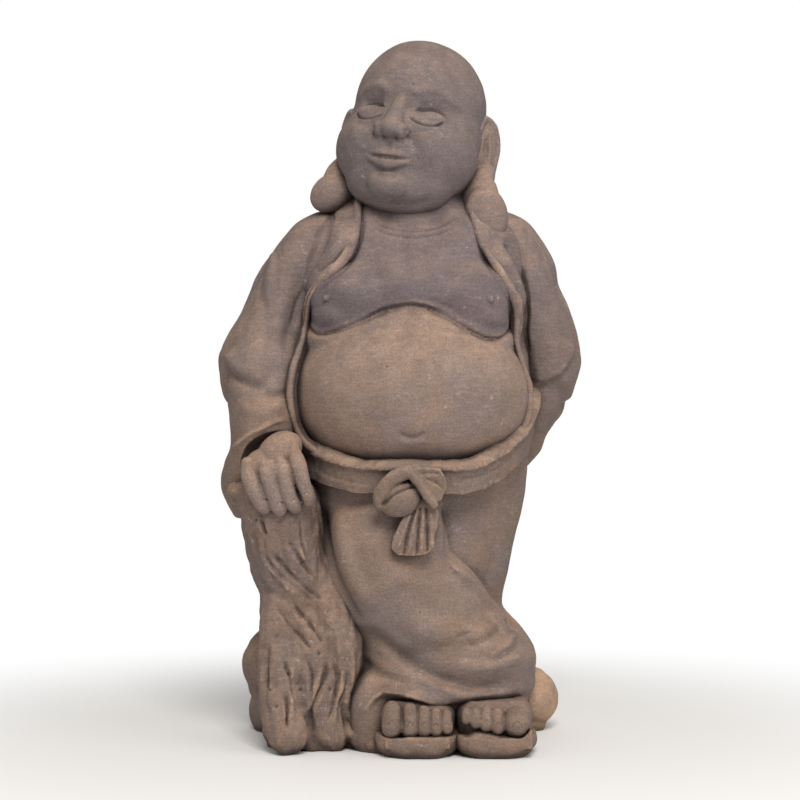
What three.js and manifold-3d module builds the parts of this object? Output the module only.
// A laughing buddha garden figure, cast in stone mortar as hollow sections that are bonded together
// round a steel armature. Millimetres, +Z up, the figure faces -Y and stands on the ground.
// Right and left are the figure's own: its right hand, at -X, rests on a tree stump.
import * as THREE from "three";
import { mergeVertices } from "three/addons/utils/BufferGeometryUtils.js";
import Module from "manifold-3d";

const wasm = await Module();
wasm.setup();

// Casting and bonding
const wall = 14; // thickness of the hollow castings
const bondGap = 0.5; // mortar line between two castings
const barRadius = 6; // steel armature
const barGap = 0.5; // resin round the steel
const facetTolerance = 0.24; // facets flatter than this are merged
const hollowTolerance = 1.2; // the same, inside the castings

// Heights above the ground
const plinthHeight = 20;
const soleHeight = 23;
const hemHeight = 60; // lower edge of the skirt at the front
const stumpHeight = 292;
const waistHeight = 302; // middle of the sash at the front
const skirtTop = waistHeight + 43; // the skirt ends behind the sash
const bellyHeight = waistHeight + 96; // the belly hangs over the sash
const chestHeight = bellyHeight + 105;
const collarHeight = chestHeight + 119; // top of the robe behind the neck
const headHeight = chestHeight + 187;

// Widths and depths, as halves
const bodyMiddle = 14; // the trunk stands a little to the figure's left
const hipHalfWidth = 130;
const hipHalfDepth = 110;
const bellyHalf = [hipHalfWidth - 2, hipHalfDepth + 8, 104];
const bellyForward = 32;
const chestHalf = [bellyHalf[0] - 16, bellyHalf[1] - 26, 84];
const chestForward = 22;
const breastHalf = [55, 55, 46];
const breastSpread = 65; // from the middle to each breast
const flankHalf = [bellyHalf[0] - 10, bellyHalf[1] - 40, 60]; // between the belly and the breasts
const shoulderHalf = [chestHalf[0] - 10, chestHalf[1] - 20, 58];
const neckRadius = 62;
const legRadius = 78; // the bent leg that shows through the skirt
const robeHalfWidth = hipHalfWidth + 4;
const robeHalfDepth = hipHalfDepth;
const seamDepth = 30; // front and back castings meet here, behind the middle

// Sash
const sashTall = 34;
const sashProud = 9;
const sashRise = 38; // how far the sides and back lie above the front
const knotForward = hipHalfDepth + 26;
const loopRadius = 15;
const tailRadius = 8;

// Stump, hand and sleeves
const stumpMiddle = [bodyMiddle - hipHalfWidth - 2, -45];
const stumpHalf = [50, 60];
const rootRadius = 24;
const stones = {
  right: { at: [-140, 48], half: [42, 42, 50] },
  left: { at: [148, 56], half: [36, 42, 36] },
};
const handAt = [stumpMiddle[0] - 17, stumpMiddle[1] - 47];
const fingerPitch = 19;
const fingerRadius = 10;
const sleeveHalf = [50, 80];
const rightSleeve = { low: stumpHeight - 41, high: collarHeight - 22 };
rightSleeve.middle = [bodyMiddle - robeHalfWidth - 30, 0];
const leftSleeve = { low: waistHeight - 10, high: collarHeight - 16 };
leftSleeve.middle = [bodyMiddle + robeHalfWidth + 2, 40];
const forearmRadius = 36;
const palmHalf = [40, 28, 24];
const leftPalmHalf = [34, 18, 24];
const leftFingerPitch = 12;
const knuckleRise = 32; // above the top of the stump
const fingertipDrop = 35; // below it
const leftElbow = [leftSleeve.middle[0] + 10, hipHalfDepth - 36, waistHeight + 84];
const leftWrist = [46, hipHalfDepth - 4, waistHeight + 60];

// Feet
const footHalfWidth = 36;
const soleRim = 7; // the sole stands out round the foot
const soleHalfDepth = 50;
const toeLine = -hipHalfDepth - 38; // front of the soles
const toeTall = 16;
const footMiddles = { left: 19, right: 103 }; // the ankles are crossed
const toeShares = [0.28, 0.2, 0.19, 0.17, 0.16];

// Head: cranium half sizes, and how it leans (degrees about X, Y and Z)
const headHalf = [74, 84, 78];
const headForward = 24;
const headLean = [-12, 8, -16];
const earRadius = 10;
const lobeDrop = 82;
const lobes = {
  right: { out: 10, forward: 10, half: [19, 20, 26], turn: [0, 32, 0] },
  left: { out: 24, forward: 4, half: [22, 20, 33], turn: [0, -6, 0] },
};

const stoneColour = 0x8d7b73;
const shadedColour = 0x7f6c64;
const barkColour = 0x816e66;
const soleColour = 0x79665a;
const steelColour = 0x8a8d90;

// Fuses closed geometries, placed in a frame, into one solid
function fuse(geometries, frame = new THREE.Matrix4()) {
  const solids = geometries.map((geometry) => {
    const bare = geometry.clone().applyMatrix4(frame);
    bare.deleteAttribute("normal");
    bare.deleteAttribute("uv");
    const merged = mergeVertices(bare, 1e-3);
    return new wasm.Manifold(
      new wasm.Mesh({
        numProp: 3,
        vertProperties: merged.attributes.position.array,
        triVerts: new Uint32Array(merged.index.array),
      }),
    );
  });
  return solids.reduce((whole, next) => whole.add(next));
}

// Moves every vertex of a geometry through a function
function shaped(geometry, move) {
  const position = geometry.attributes.position;
  const point = new THREE.Vector3();
  for (let i = 0; i < position.count; i++) {
    point.fromBufferAttribute(position, i);
    move(point);
    position.setXYZ(i, point.x, point.y, point.z);
  }
  return geometry;
}

// A ball with three half sizes, turned by degrees about X, Y and Z
function egg(at, half, grow, { turn = [0, 0, 0], sides = 12 } = {}) {
  const ball = new THREE.SphereGeometry(1, sides, Math.round(sides * 0.6)).rotateX(Math.PI / 2);
  ball.scale(...half.map((size) => size + grow));
  const [x, y, z] = turn.map(THREE.MathUtils.degToRad);
  return ball.rotateX(x).rotateY(y).rotateZ(z).translate(...at);
}

// A round-ended tube through stops of [x, y, z, radius], flattened along one direction
function limb(stops, grow, { sides = 9, steps = 4, flat = 1, flatAlong = [0, 1, 0] } = {}) {
  const path = new THREE.CatmullRomCurve3(stops.map((stop) => new THREE.Vector3(...stop)));
  const last = stops.length - 1;
  const flatWay = new THREE.Vector3(...flatAlong);
  return shaped(new THREE.CapsuleGeometry(1, 2, 2, sides, steps), (p) => {
    const share = THREE.MathUtils.clamp((1 - p.y) / 2, 0, 1);
    const stop = Math.min(Math.floor(share * last), last - 1);
    const radius = THREE.MathUtils.lerp(stops[stop][3], stops[stop + 1][3], share * last - stop) + grow;
    const beyond = Math.sign(p.y) * Math.max(0, Math.abs(p.y) - 1);
    const along = path.getTangent(share);
    const side = new THREE.Vector3().crossVectors(along, flatWay).normalize();
    const up = new THREE.Vector3().crossVectors(along, side);
    const [across, over] = [p.x, p.z];
    p.copy(path.getPoint(share))
      .addScaledVector(along, -beyond * radius)
      .addScaledVector(side, across * radius)
      .addScaledVector(up, over * radius * flat);
  });
}

// A smooth value between rows whose first column is a share of the height
function between(rows, share, column) {
  const last = rows.length - 1;
  let i = 0;
  while (i < last - 1 && share > rows[i + 1][0]) i++;
  const slope = (k) => {
    const low = rows[Math.max(k - 1, 0)];
    const high = rows[Math.min(k + 1, last)];
    return (high[column] - low[column]) / (high[0] - low[0]);
  };
  const [from, to] = [rows[i], rows[i + 1]];
  const span = to[0] - from[0];
  const t = THREE.MathUtils.clamp((share - from[0]) / span, 0, 1);
  const [t2, t3] = [t * t, t * t * t];
  return (
    (2 * t3 - 3 * t2 + 1) * from[column] +
    (t3 - 2 * t2 + t) * span * slope(i) +
    (3 * t2 - 2 * t3) * to[column] +
    (t3 - t2) * span * slope(i + 1)
  );
}

// An upright body with squarish rings. Each row holds a share of the height, then how far the ring
// reaches to -X, +X, -Y and +Y from the middle, as shares of the half sizes. Grown by less than
// nothing it is a hollow, which runs out through the bottom.
function lofted({ low, high, middle, half, rows, sides = 20, rings = 10, square = 2.3 }, grow) {
  const tube = new THREE.CylinderGeometry(1, 1, 1, sides, rings);
  const squared = (value) => Math.sign(value) * Math.abs(value) ** (2 / square);
  return shaped(tube, (p) => {
    const share = p.y + 0.5;
    const reach = [1, 2, 3, 4].map((column) => between(rows, share, column));
    const [toLeft, toRight] = reach.slice(0, 2).map((value) => middle[0] + value * half[0]);
    const [toFront, toBack] = reach.slice(2).map((value) => middle[1] + value * half[1]);
    const rim = Math.min(Math.hypot(p.x, p.z), 1);
    const turn = Math.atan2(p.z, p.x);
    const across = squared(Math.cos(turn)) * rim;
    const along = -squared(Math.sin(turn)) * rim;
    const isTop = share > 0.999;
    const isBottom = share < 0.001;
    p.set(
      (toLeft + toRight) / 2 + across * ((toRight - toLeft) / 2 + grow),
      (toFront + toBack) / 2 + along * ((toBack - toFront) / 2 + grow),
      low + share * (high - low) + (isTop ? grow : 0) - (isBottom ? Math.abs(grow) : 0),
    );
  });
}

const evenRows = [
  [0, -1, 1, -1, 1],
  [1, -1, 1, -1, 1],
];

// A steel bar between two points
function bar(from, to, grow) {
  const [start, end] = [new THREE.Vector3(...from), new THREE.Vector3(...to)];
  const way = end.clone().sub(start);
  const rod = new THREE.CylinderGeometry(barRadius + grow, barRadius + grow, way.length(), 12);
  const turn = new THREE.Quaternion().setFromUnitVectors(THREE.Object3D.DEFAULT_UP, way.normalize());
  return rod.applyQuaternion(turn).translate(...start.add(end).multiplyScalar(0.5).toArray());
}

// A box between two corners
function block(low, high) {
  const [width, depth, height] = high.map((value, i) => value - low[i]);
  const middle = high.map((value, i) => (value + low[i]) / 2);
  return new THREE.BoxGeometry(width, depth, height).translate(...middle);
}

const far = 2 * headHeight;
const aboveGround = fuse([block([-far, -far, 0], [far, far, far])]);
const inFront = (grow) => fuse([block([-far, -far, -far], [far, seamDepth - bondGap / 2 + grow, far])]);
const behind = (grow) => fuse([block([-far, seamDepth + bondGap / 2 - grow, -far], [far, far, far])]);
const onRight = (grow) => fuse([block([-far, -far, -far], [bodyMiddle + grow, far, far])]);
const onLeft = (grow) => fuse([block([bodyMiddle - grow, -far, -far], [far, far, far])]);

// Belly, with the flanks above it
function belly(grow) {
  const flankHeight = (bellyHeight + chestHeight) / 2;
  return fuse([
    egg([bodyMiddle, -bellyForward, bellyHeight], bellyHalf, grow, { sides: 18 }),
    egg([bodyMiddle, -bellyForward, flankHeight], flankHalf, grow, { sides: 14 }),
  ]);
}

// Chest, then breasts, shoulders and neck over it
function chestCore(grow) {
  return fuse([egg([bodyMiddle + 2, -chestForward, chestHeight], chestHalf, grow, { sides: 14 })]);
}
function chest(grow) {
  const breast = (side) =>
    egg([bodyMiddle + 2 + side * breastSpread, -breastHalf[1], chestHeight - 6], breastHalf, grow, {
      turn: [0, side * 10, 0],
    });
  const neckFoot = [bodyMiddle + 4, -4, chestHeight + 60, neckRadius + 8];
  const neckHead = [bodyMiddle + 2, -8, headHeight - headHalf[0], neckRadius];
  return chestCore(grow).add(
    fuse([
      breast(-1),
      breast(1),
      egg([bodyMiddle + 2, -10, chestHeight + 64], shoulderHalf, grow),
      limb([neckFoot, neckHead], grow, { sides: 16, steps: 2 }),
    ]),
  );
}

// Skirt: a tower with the two crossed legs under it
const skirtLow = plinthHeight + bondGap;
const hemShare = (hemHeight - skirtLow) / (skirtTop - skirtLow);
function skirt(grow) {
  const tower = lofted(
    {
      low: skirtLow,
      high: skirtTop,
      middle: [bodyMiddle, 0],
      half: [hipHalfWidth, hipHalfDepth],
      sides: 20,
      rings: 12,
      rows: [
        [0, -0.52, 1.0, -0.8, 0.95],
        [hemShare * 0.8, -0.52, 1.02, -0.9, 0.96],
        [hemShare, -0.55, 1.06, -1.1, 0.96],
        [0.19, -0.53, 1.07, -1.1, 0.96],
        [0.25, -0.57, 1.05, -1.06, 0.96],
        [0.33, -0.64, 0.92, -1.0, 0.96],
        [0.4, -0.7, 0.79, -0.92, 0.97],
        [0.55, -0.79, 0.86, -0.9, 1.0],
        [0.71, -0.89, 0.95, -0.95, 1.02],
        [0.86, -0.96, 1.01, -1.02, 1.0],
        [1, -1.01, 1.01, -1.02, 0.96],
      ],
    },
    grow,
  );
  const frontLeg = limb(
    [
      [bodyMiddle + 10, -32, waistHeight - 30, legRadius - 2],
      [bodyMiddle - 30, -48, waistHeight * 0.7, legRadius],
      [bodyMiddle - 6, -42, hemHeight + legRadius, legRadius + 2],
    ],
    grow,
    { sides: 12, steps: 4 },
  );
  return fuse([tower, frontLeg]);
}

// Robe over shoulders and back, open down the front
const robeLow = waistHeight + sashRise / 2;
function robe(grow) {
  return fuse([
    lofted(
      {
        low: robeLow,
        high: collarHeight,
        middle: [bodyMiddle, 0],
        half: [robeHalfWidth, robeHalfDepth],
        sides: 20,
        rings: 10,
        rows: [
          [0, -0.99, 0.99, -0.92, 0.99],
          [0.07, -1.01, 1.01, -0.95, 1.02],
          [0.22, -1.03, 1.02, -0.96, 1.05],
          [0.36, -1.01, 1.01, -0.97, 1.06],
          [0.5, -0.99, 0.99, -1.02, 1.04],
          [0.63, -0.99, 0.99, -1.04, 0.98],
          [0.74, -0.94, 0.96, -0.97, 0.89],
          [0.85, -0.84, 0.88, -0.83, 0.76],
          [0.91, -0.7, 0.73, -0.68, 0.6],
          [1, -0.48, 0.51, -0.44, 0.4],
        ],
      },
      grow,
    ),
  ]);
}

// The opening between the lapels and round the belly, as shares across and up the robe
const openingPoints = [
  [-0.43, 1.1],
  [-0.45, 0.83],
  [-0.54, 0.73],
  [-0.69, 0.65],
  [-0.82, 0.6],
  [-0.86, 0.48],
  [-0.93, 0.39],
  [-0.99, 0.29],
  [-1.01, 0.2],
  [-0.97, 0.1],
  [-0.88, 0.04],
  [-0.55, -0.1],
  [0.57, -0.1],
  [0.88, 0.04],
  [0.95, 0.12],
  [0.96, 0.22],
  [0.93, 0.31],
  [0.86, 0.41],
  [0.84, 0.49],
  [0.86, 0.55],
  [0.81, 0.62],
  [0.71, 0.7],
  [0.6, 0.77],
  [0.51, 0.86],
  [0.46, 1.1],
];
function robeOpening() {
  const outline = openingPoints.map(
    ([across, up]) =>
      new THREE.Vector2(bodyMiddle + across * robeHalfWidth, robeLow + up * (collarHeight - robeLow)),
  );
  const depth = robeHalfDepth * 1.5 + seamDepth;
  const plate = new THREE.ExtrudeGeometry(new THREE.Shape(outline), { depth, bevelEnabled: false });
  return fuse([plate.rotateX(Math.PI / 2).translate(0, seamDepth, 0)]);
}
const opening = robeOpening();
const lapel = (side) => (grow) =>
  robe(grow).intersect(inFront(grow)).intersect(side(grow)).subtract(opening);

// The hollow inside, one wall in from the skin
const hollow = belly(-wall)
  .add(chestCore(-wall))
  .add(skirt(-wall))
  .add(robe(-wall).intersect(behind(0)))
  .simplify(hollowTolerance);

// Sleeves
function sleeveRight(grow) {
  const rows = [
    [0, -0.76, 0, -0.5, 0.45],
    [0.07, -1.02, 0.2, -0.72, 0.62],
    [0.13, -1.06, 0.5, -0.92, 0.72],
    [0.18, -0.96, 0.72, -1.15, 0.78],
    [0.23, -0.82, 0.8, -1.3, 0.82],
    [0.31, -0.82, 0.84, -1.32, 0.9],
    [0.38, -0.9, 0.88, -1.25, 0.98],
    [0.46, -1.02, 0.94, -1.15, 1.02],
    [0.52, -1.1, 1.0, -1.02, 1.05],
    [0.58, -0.94, 1.1, -0.9, 1.08],
    [0.66, -0.6, 1.24, -0.8, 1.08],
    [0.73, -0.36, 1.48, -0.75, 1.05],
    [0.83, -0.08, 1.88, -0.68, 1.0],
    [0.93, 0.52, 2.28, -0.55, 0.9],
    [1, 1.6, 2.5, -0.25, 0.6],
  ];
  return fuse([lofted({ ...rightSleeve, half: sleeveHalf, rows, sides: 14, rings: 11 }, grow)]);
}
function sleeveLeft(grow) {
  const rows = [
    [0, -0.92, -0.44, 0.48, 1.1],
    [0.1, -0.68, 0.16, 0.05, 1.2],
    [0.16, -0.56, 0.32, -0.15, 1.22],
    [0.22, -0.48, 0.62, -0.38, 1.22],
    [0.3, -0.52, 0.9, -0.6, 1.2],
    [0.38, -0.58, 1.08, -0.78, 1.16],
    [0.45, -0.64, 1.1, -0.92, 1.08],
    [0.54, -0.8, 1.0, -1.05, 0.98],
    [0.63, -0.96, 0.8, -1.15, 0.82],
    [0.71, -1.16, 0.58, -1.18, 0.7],
    [0.8, -1.44, 0.46, -1.12, 0.6],
    [0.89, -1.84, 0.2, -1.0, 0.48],
    [0.96, -2.12, -0.2, -0.88, 0.32],
    [1, -1.96, -0.92, -0.7, 0.05],
  ];
  const [middleX, middleY, middleZ] = leftElbow.map((value, i) => (value + leftWrist[i]) / 2);
  const forearm = limb(
    [
      [...leftElbow, forearmRadius],
      [middleX, middleY + 8, middleZ - 6, forearmRadius + 4],
      [...leftWrist, forearmRadius],
    ],
    grow,
    { sides: 12, steps: 4 },
  );
  return fuse([lofted({ ...leftSleeve, half: sleeveHalf, rows, sides: 14, rings: 9 }, grow), forearm]);
}

// Right hand: four fingers folded over the edge of the stump, the thumb behind
const knuckleHeight = stumpHeight + knuckleRise;
const fingertipHeights = [5, 0, 2, 13].map((rise) => stumpHeight - fingertipDrop + rise);
function handRight(grow) {
  const fingers = fingertipHeights.map((tipHeight, n) => {
    const root = handAt[0] + (n - 1.5) * fingerPitch;
    const tip = handAt[0] + 15 + (n - 1.5) * fingerPitch * 0.82;
    return limb(
      [
        [root, handAt[1] - 6, knuckleHeight, fingerRadius + 1],
        [root + 3, handAt[1] - 30, knuckleHeight - 10, fingerRadius],
        [(root + tip) / 2 + 2, handAt[1] - 36, (knuckleHeight + tipHeight) / 2, fingerRadius - 1],
        [tip, handAt[1] - 32, tipHeight + fingerRadius - 2, fingerRadius - 2],
      ],
      grow,
      { sides: 8, steps: 5 },
    );
  });
  return fuse([
    egg([...handAt, stumpHeight + 26], palmHalf, grow, { sides: 10 }),
    limb(
      [
        [handAt[0], handAt[1] + 8, stumpHeight + 30, palmHalf[2]],
        [handAt[0] - 6, handAt[1] + 60, stumpHeight + 62, palmHalf[2] + 1],
      ],
      grow,
    ),
    ...fingers,
  ]);
}

// Left hand, open against the small of the back
function handLeft(grow) {
  const [x, y, z] = [leftWrist[0] - 40, leftWrist[1] + 12, leftWrist[2]];
  const fingers = [1.5, 0.5, -0.5, -1.5].map((n) => {
    const row = z + n * leftFingerPitch;
    return limb(
      [
        [x, y + 6, row, fingerRadius - 2],
        [x - 26, y + 10, row + 2, fingerRadius - 2],
        [x - 48, y + 4, row - n, fingerRadius - 3],
      ],
      grow,
      { sides: 8, steps: 3 },
    );
  });
  return fuse([egg([x + 4, y, z], leftPalmHalf, grow, { sides: 14 }), ...fingers]);
}

// Sash: a band that dips under the belly
function sash(grow) {
  const [halfX, halfY] = [hipHalfWidth + sashProud, hipHalfDepth + sashProud + 5];
  const ring = shaped(new THREE.TorusGeometry(1, 0.5, 6, 30), (p) => {
    const turn = Math.atan2(p.y, p.x);
    const out = (Math.hypot(p.x, p.y) - 1) * 2;
    const up = p.z * 2;
    const front = Math.max(0, -Math.sin(turn)) ** 1.6;
    const forward = front * 8;
    const spread = out * (12 + grow) - 8;
    p.set(
      bodyMiddle + Math.cos(turn) * (halfX + spread),
      Math.sin(turn) * (halfY + spread + forward),
      waistHeight + sashRise * (1 - front) + up * (sashTall / 2 + (1 - front) * 4 + grow),
    );
  });
  return fuse([ring]);
}

// Knot: two soft loops and a pleated tail in front of the sash
const knotAt = [bodyMiddle + 2, -knotForward];
function knot(grow) {
  const [x, y] = knotAt;
  return fuse([
    limb(
      [
        [x + 6, y - 2, waistHeight + 6, loopRadius - 4],
        [x - 24, y - 10, waistHeight - 2, loopRadius],
        [x - 30, y - 10, waistHeight - 20, loopRadius],
        [x - 8, y - 6, waistHeight - 26, loopRadius - 3],
      ],
      grow,
      { flat: 0.8 },
    ),
    limb(
      [
        [x - 4, y - 2, waistHeight + 8, loopRadius - 5],
        [x + 14, y - 10, waistHeight + 8, loopRadius - 2],
        [x + 28, y - 8, waistHeight - 4, loopRadius - 1],
        [x + 20, y - 6, waistHeight - 22, loopRadius - 4],
      ],
      grow,
      { flat: 0.8 },
    ),
  ]);
}
function tails(grow) {
  const [x, y] = knotAt;
  return fuse(
    [-1.5, -0.5, 0.5, 1.5].map((n) =>
      limb(
        [
          [x + 4 + n * 4, y + 2, waistHeight - 28, tailRadius],
          [x + 2 + n * 8, y - 2, waistHeight - 52, tailRadius],
          [x - 2 + n * 12, y - 1, waistHeight - 72, tailRadius + 1],
        ],
        grow,
        { sides: 8, steps: 3 },
      ),
    ),
  );
}

// Feet and the soles under them; the ankles are crossed, so each big toe is on the outside
function sole(middle) {
  const half = [footHalfWidth + soleRim, soleHalfDepth];
  const shape = { low: 0, high: soleHeight, middle: [middle, toeLine + soleHalfDepth], half };
  return (grow) =>
    fuse([lofted({ ...shape, rows: evenRows, rings: 1, square: 3 }, grow)]).intersect(aboveGround);
}
function foot(middle, bigToeSide) {
  return (grow) => {
    let used = 0;
    const toes = toeShares.map((share, n) => {
      const across = 1 - 2 * (used + share / 2);
      used += share;
      return egg(
        [
          middle + bigToeSide * footHalfWidth * across,
          toeLine + 18 + n * 2.5,
          soleHeight + toeTall * (0.9 - n * 0.08),
        ],
        [share * footHalfWidth * 1.08, 16, toeTall * (1 - n * 0.08)],
        grow,
        { turn: [-18, 0, 0], sides: 9 },
      );
    });
    const instep = [middle, toeLine + 52, soleHeight + 14];
    return fuse([egg(instep, [footHalfWidth, 42, 24], grow, { sides: 10 }), ...toes]);
  };
}

// Stump with its roots, and the two stones beside it
function stump(grow) {
  const [x, y] = stumpMiddle;
  const trunkRows = [
    [0, -0.64, 1.2, -0.92, 1.25],
    [0.15, -0.56, 1.24, -0.92, 1.28],
    [0.34, -0.6, 1.12, -0.85, 1.22],
    [0.51, -0.64, 0.96, -0.78, 0.98],
    [0.68, -0.84, 0.78, -0.88, 0.75],
    [0.86, -1.16, 0.6, -1.02, 0.58],
    [0.96, -1.32, 0.5, -1.02, 0.45],
    [1, -1.16, 0.36, -0.88, 0.32],
  ];
  const bole = { low: 0, high: stumpHeight, middle: stumpMiddle, half: stumpHalf };
  return fuse([
    lofted({ ...bole, rows: trunkRows, sides: 14, rings: 8 }, grow),
    limb(
      [
        [x - 12, y - 22, stumpHeight * 0.65, rootRadius - 4],
        [x - 8, y - 42, stumpHeight * 0.4, rootRadius],
        [x - 8, y - 60, stumpHeight * 0.14, rootRadius],
        [x - 8, y - 66, 6, rootRadius - 2],
      ],
      grow,
    ),
    limb(
      [
        [x + 22, y + 12, stumpHeight * 0.5, rootRadius],
        [x + 32, y - 8, stumpHeight * 0.2, rootRadius - 2],
        [x + 42, y - 24, 4, rootRadius - 6],
      ],
      grow,
    ),
    limb(
      [
        [x + 36, y + 20, stumpHeight * 0.66, rootRadius + 2],
        [x + 54, y - 2, stumpHeight * 0.4, rootRadius + 2],
        [x + 72, y - 22, stumpHeight * 0.17, rootRadius - 2],
        [x + 86, y - 34, 2, rootRadius - 6],
      ],
      grow,
    ),
  ]).intersect(aboveGround);
}
function stone({ at, half }, lift) {
  const [halfX, halfY, halfZ] = half;
  return (grow) =>
    fuse([
      egg([...at, halfZ * lift], half, grow, { sides: 10 }),
      egg([at[0] + 2, at[1] + 6, halfZ * 0.4], [halfX - 4, halfY - 2, halfZ * 0.8], grow, { sides: 10 }),
    ]).intersect(aboveGround);
}

// Plinth that closes the underside, with its drain hole
const drainAt = [bodyMiddle + 50, 50];
const drainRadius = 9;
function plinth(grow) {
  const half = [hipHalfWidth - wall, hipHalfDepth - wall + 4];
  const shape = { low: 0, high: plinthHeight, middle: [bodyMiddle, 8], half };
  const drain = new THREE.CylinderGeometry(drainRadius, drainRadius, 3 * plinthHeight, 16);
  return fuse([lofted({ ...shape, rows: evenRows, rings: 1, square: 2.6 }, grow)])
    .intersect(aboveGround)
    .subtract(fuse([drain.rotateX(Math.PI / 2).translate(...drainAt, 0)]));
}

// Head and ears, in the head's own frame
const headFrame = new THREE.Matrix4().compose(
  new THREE.Vector3(bodyMiddle + 3, -headForward, headHeight),
  new THREE.Quaternion().setFromEuler(
    new THREE.Euler(...headLean.map(THREE.MathUtils.degToRad), "ZYX"),
  ),
  new THREE.Vector3(1, 1, 1),
);
function head(grow) {
  const [halfX, halfY, halfZ] = headHalf;
  const nose = [
    [0, -halfY + 10, 12, 7],
    [0, -halfY, -6, 8],
    [0, -halfY - 10, -26, 11],
  ];
  const closedEye = (side) => egg([side * 32, -halfY + 20, -6], [18, 13, 10], grow, { sides: 10 });
  return fuse(
    [
      egg([0, 8, 26], headHalf, grow, { sides: 18 }),
      egg([0, -14, -34], [halfX + 7, halfY - 12, halfZ - 18], grow, { sides: 16 }),
      egg([0, -20, -66], [halfX - 12, halfY - 30, halfZ - 36], grow, { sides: 12 }),
      limb(nose, grow, { sides: 8, steps: 3 }),
      closedEye(-1),
      closedEye(1),
      egg([0, -halfY + 1, -58], [20, 8, 10], grow, { sides: 10 }), // lips
      egg([0, -halfY + 12, -84], [20, 14, 14], grow, { sides: 10 }), // chin
    ],
    headFrame,
  );
}
function ear(side, { out, forward, half, turn }) {
  const reach = headHalf[0];
  return (grow) =>
    fuse(
      [
        egg([side * (reach + 6), 20, 6], [earRadius, 24, 36], grow, { sides: 9 }),
        limb(
          [
            [side * reach, 12, 34, earRadius - 2],
            [side * (reach + 8), 24, 20, earRadius],
            [side * (reach + 7), 24, -12, earRadius],
            [side * (reach + out / 3), 16, -44, earRadius + 2],
            [side * (reach + out), -forward, 4 - lobeDrop, earRadius + 4],
          ],
          grow,
          { sides: 8, steps: 7, flat: 0.85, flatAlong: [1, 0, 0] },
        ),
        egg([side * (reach + out), -forward, -lobeDrop], half, grow, { turn, sides: 12 }),
      ],
      headFrame,
    );
}

// Steel: one bar from the plinth up into the head, and the bars that hold arms, hands and stump
const armatureAt = [bodyMiddle, -4];
const armature = (grow) =>
  fuse([bar([...armatureAt, plinthHeight * 0.4], [...armatureAt, headHeight], grow)]);
const tieDepth = armatureAt[1] + 2 * barRadius + 4;
const shoulderTie = (grow) => {
  const height = chestHeight + 3 * barRadius;
  const ends = [rightSleeve.middle[0] + 10, leftSleeve.middle[0]];
  return fuse([bar([ends[0], tieDepth, height], [ends[1], tieDepth, height], grow)]);
};
const stumpPin = (grow) => {
  const height = stumpHeight * 0.45;
  return fuse([bar([stumpMiddle[0] - 10, -30, height], [bodyMiddle - 62, -30, height], grow)]);
};
const wristPinRight = (grow) =>
  fuse([
    bar(
      [handAt[0], handAt[1] + 10, stumpHeight + 30],
      [handAt[0] - 8, handAt[1] + 84, stumpHeight + 78],
      grow,
    ),
  ]);
const wristPinLeft = (grow) =>
  fuse([
    bar(
      [leftWrist[0] - 30, leftWrist[1] + 8, leftWrist[2]],
      [leftWrist[0] + 30, leftWrist[1] - 6, leftWrist[2] + 4],
      grow,
    ),
  ]);

// The pieces in the order that they are set: each one leaves room for those before it
const figure = new THREE.Group();
const placed = [];

function place(name, form, finish = {}) {
  const { colour = stoneColour, gap = bondGap, inside, metalness = 0, roughness = 0.9 } = finish;
  const raw = inside ? form(0).subtract(inside) : form(0);
  const cut = placed.reduce((rest, seat) => rest.subtract(seat), raw);
  const whole = cut.decompose().reduce((a, b) => (b.volume() > a.volume() ? b : a));
  const mesh = whole.simplify(facetTolerance).getMesh();
  const geometry = new THREE.BufferGeometry()
    .setAttribute("position", new THREE.BufferAttribute(mesh.vertProperties, mesh.numProp))
    .setIndex(new THREE.BufferAttribute(mesh.triVerts, 1));
  geometry.computeVertexNormals();
  const material = new THREE.MeshStandardMaterial({ color: colour, metalness, roughness });
  const piece = new THREE.Mesh(geometry, material);
  piece.name = name;
  figure.add(piece);
  placed.push(form(gap));
}

const steel = { colour: steelColour, gap: barGap, metalness: 1, roughness: 0.5 };
place("armature_bar", armature, steel);
place("shoulder_tie", shoulderTie, steel);
place("stump_pin", stumpPin, steel);
place("wrist_pin_right", wristPinRight, steel);
place("wrist_pin_left", wristPinLeft, steel);
place("head", head);
place("ear_right", ear(-1, lobes.right));
place("ear_left", ear(1, lobes.left));
place("chest", (grow) => chest(grow).intersect(inFront(grow)), { inside: hollow });
place("belly", (grow) => belly(grow).intersect(inFront(grow)), { inside: hollow });
place("skirt_front", (grow) => skirt(grow).intersect(inFront(grow)), { inside: hollow });
place("skirt_back", (grow) => skirt(grow).intersect(behind(grow)), { inside: hollow });
place("lapel_right", lapel(onRight), { inside: hollow });
place("lapel_left", lapel(onLeft), { inside: hollow });
place("robe_back", (grow) => robe(grow).intersect(behind(grow)), {
  inside: hollow,
  colour: shadedColour,
});
place("sash_band", sash);
place("sash_knot", knot);
place("sash_tails", tails);
place("hand_right", handRight);
place("hand_left", handLeft);
place("stump", stump, { colour: barkColour });
place("sleeve_right", sleeveRight);
place("sleeve_left", sleeveLeft);
place("sole_left", sole(footMiddles.left), { colour: soleColour });
place("sole_right", sole(footMiddles.right), { colour: soleColour });
place("foot_left", foot(footMiddles.left, -1));
place("foot_right", foot(footMiddles.right, 1));
place("stone_right", stone(stones.right, 1.44), { colour: barkColour });
place("stone_left", stone(stones.left, 0.96), { colour: barkColour });
place("plinth", plinth, { colour: soleColour });

// The origin is on the ground, under the middle of the figure
const extent = new THREE.Box3().setFromObject(figure);
const middle = extent.getCenter(new THREE.Vector3());
figure.position.set(-middle.x, -middle.y, -extent.min.z);

export default figure;
